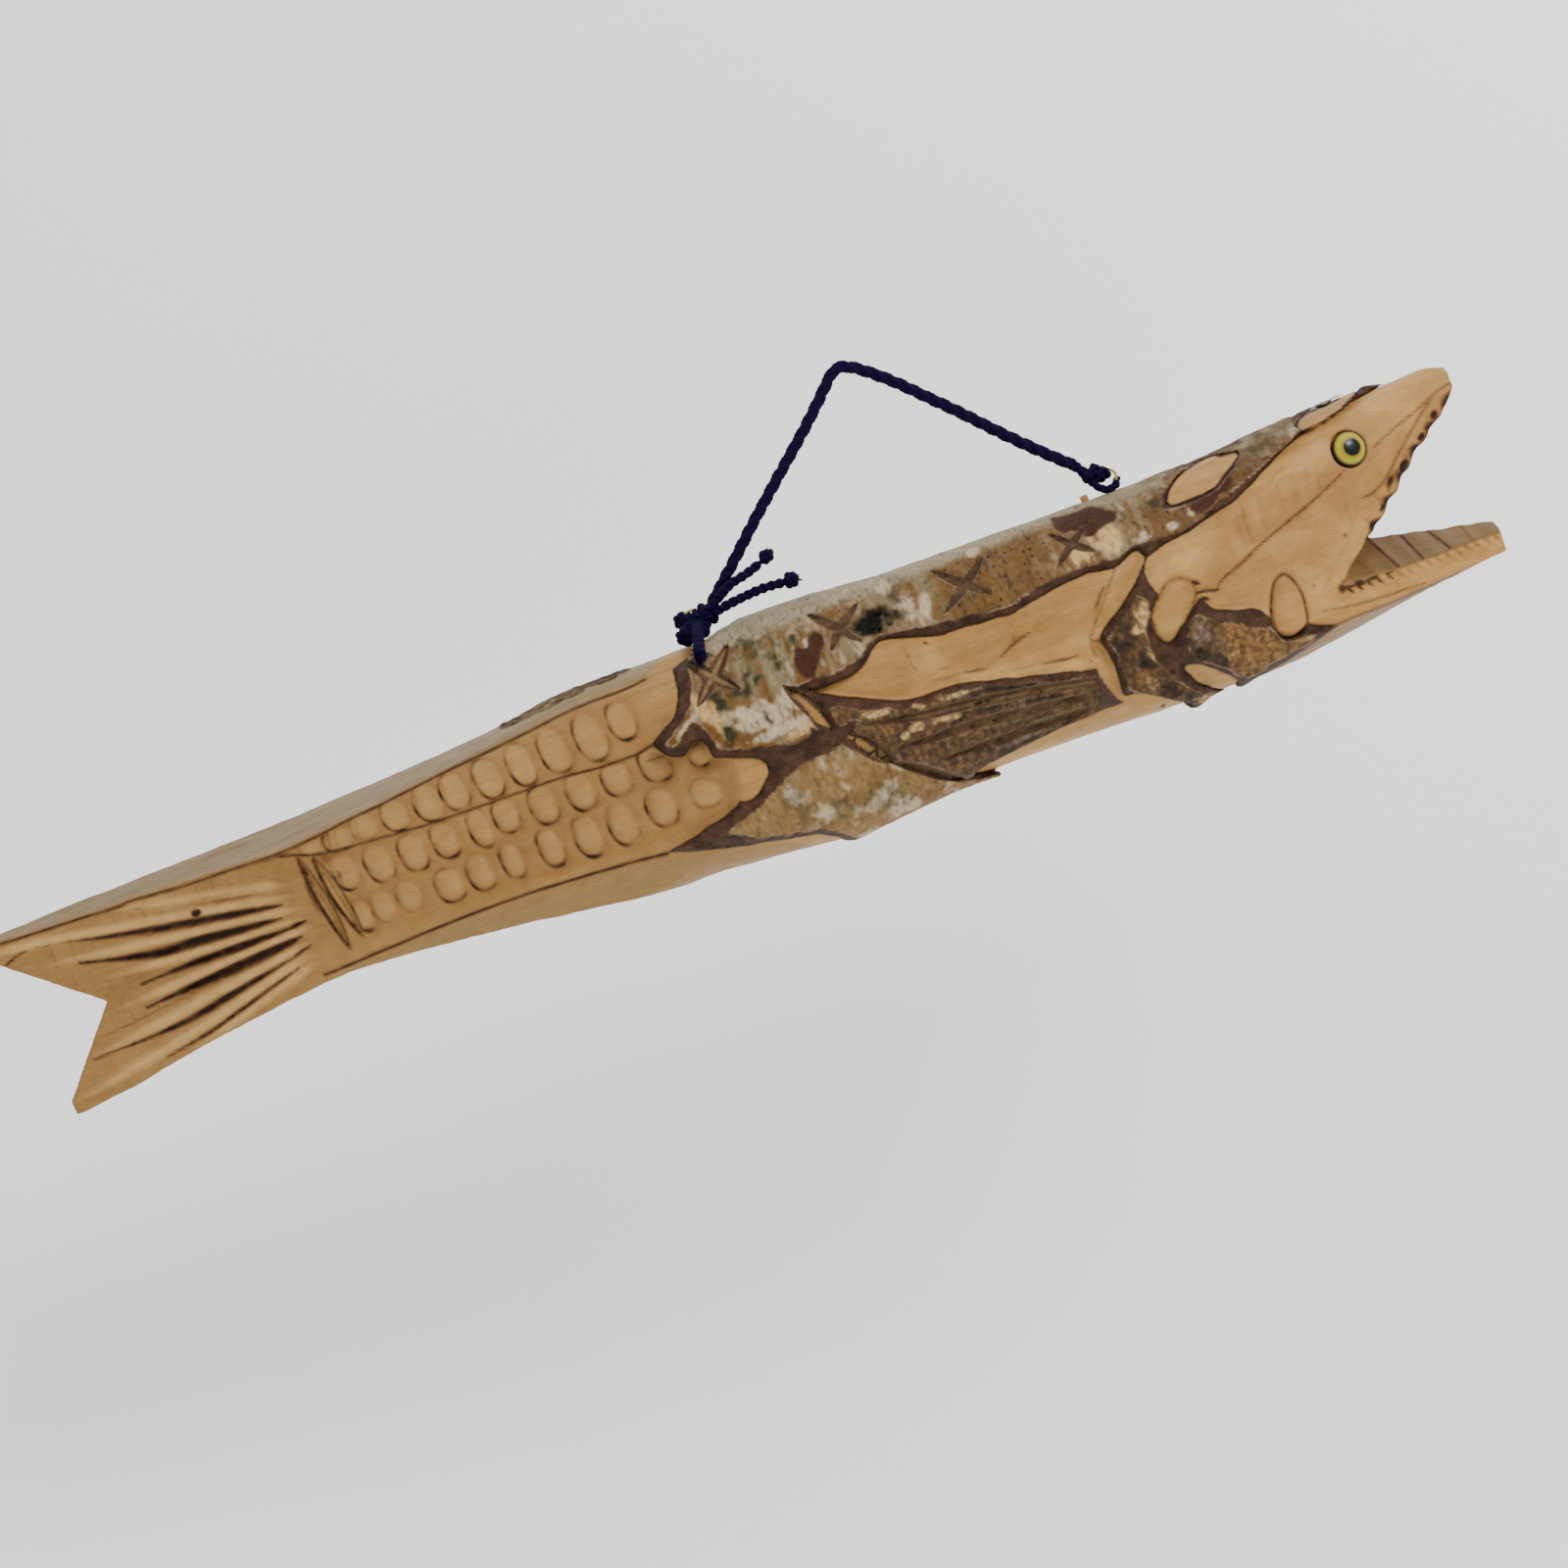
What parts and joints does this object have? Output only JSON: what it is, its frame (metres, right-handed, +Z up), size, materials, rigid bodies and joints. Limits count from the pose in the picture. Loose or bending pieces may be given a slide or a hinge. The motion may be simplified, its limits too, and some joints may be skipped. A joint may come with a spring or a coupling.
{
  "type": "hanging carved wooden fish",
  "caption": "Carved birch-log fish with bark panels, glass eyes and an open mouth, hung level from two brass screw eyes by a twisted cord sling.",
  "frame": {"origin": "middle of the cord sling at its highest point, where a hook or nail holds it", "axes": "+X along the view of the fish from tail to nose in plan, +Y across the fish, +Z up; the fish hangs nose up by 20.5 degrees about Y"},
  "size_m": [0.5661, 0.093, 0.2801],
  "materials": {
    "carved_wood": "oiled, knife-cut, with burnt grooves",
    "birch_bark": "natural birch bark, brown at its cut edges",
    "eye_glass": "polished",
    "eye_iris": "yellow paint behind glass",
    "eye_pupil": "black paint behind glass",
    "brass_wire": "bright",
    "wedge_wood": "stained",
    "indigo_cord": "twisted cotton"
  },
  "bodies": {
    "sling": {"sling_cord": "indigo_cord"},
    "fish": {"log_body": "carved_wood", "bark_back": "birch_bark", "bark_belly": "birch_bark", "bark_fin_left": "birch_bark", "bark_fin_right": "birch_bark", "bark_gill_rear_left": "birch_bark", "bark_gill_rear_right": "birch_bark", "bark_gill_front_left": "birch_bark", "bark_gill_front_right": "birch_bark", "bark_tail_strip": "birch_bark", "eye_glass_left": "eye_glass", "eye_glass_right": "eye_glass", "eye_iris_left": "eye_iris", "eye_iris_right": "eye_iris", "eye_pupil_left": "eye_pupil", "eye_pupil_right": "eye_pupil", "screw_eye_rear": "brass_wire", "screw_eye_front": "brass_wire", "ring_wedge": "wedge_wood", "rear_knot": "indigo_cord", "front_hitch": "indigo_cord", "tail_upper": "indigo_cord", "tail_lower": "indigo_cord", "stopper_upper": "indigo_cord", "stopper_lower": "indigo_cord", "knot_tuft": "indigo_cord"}
  },
  "joints": [
    {"name": "roll_under_sling", "type": "hinge", "parent": "sling", "child": "fish", "pos_m": [0.02184, 0, -0.05836], "axis": [0.9367, 0, 0.3502], "range_deg": [-20, 20]}
  ]
}
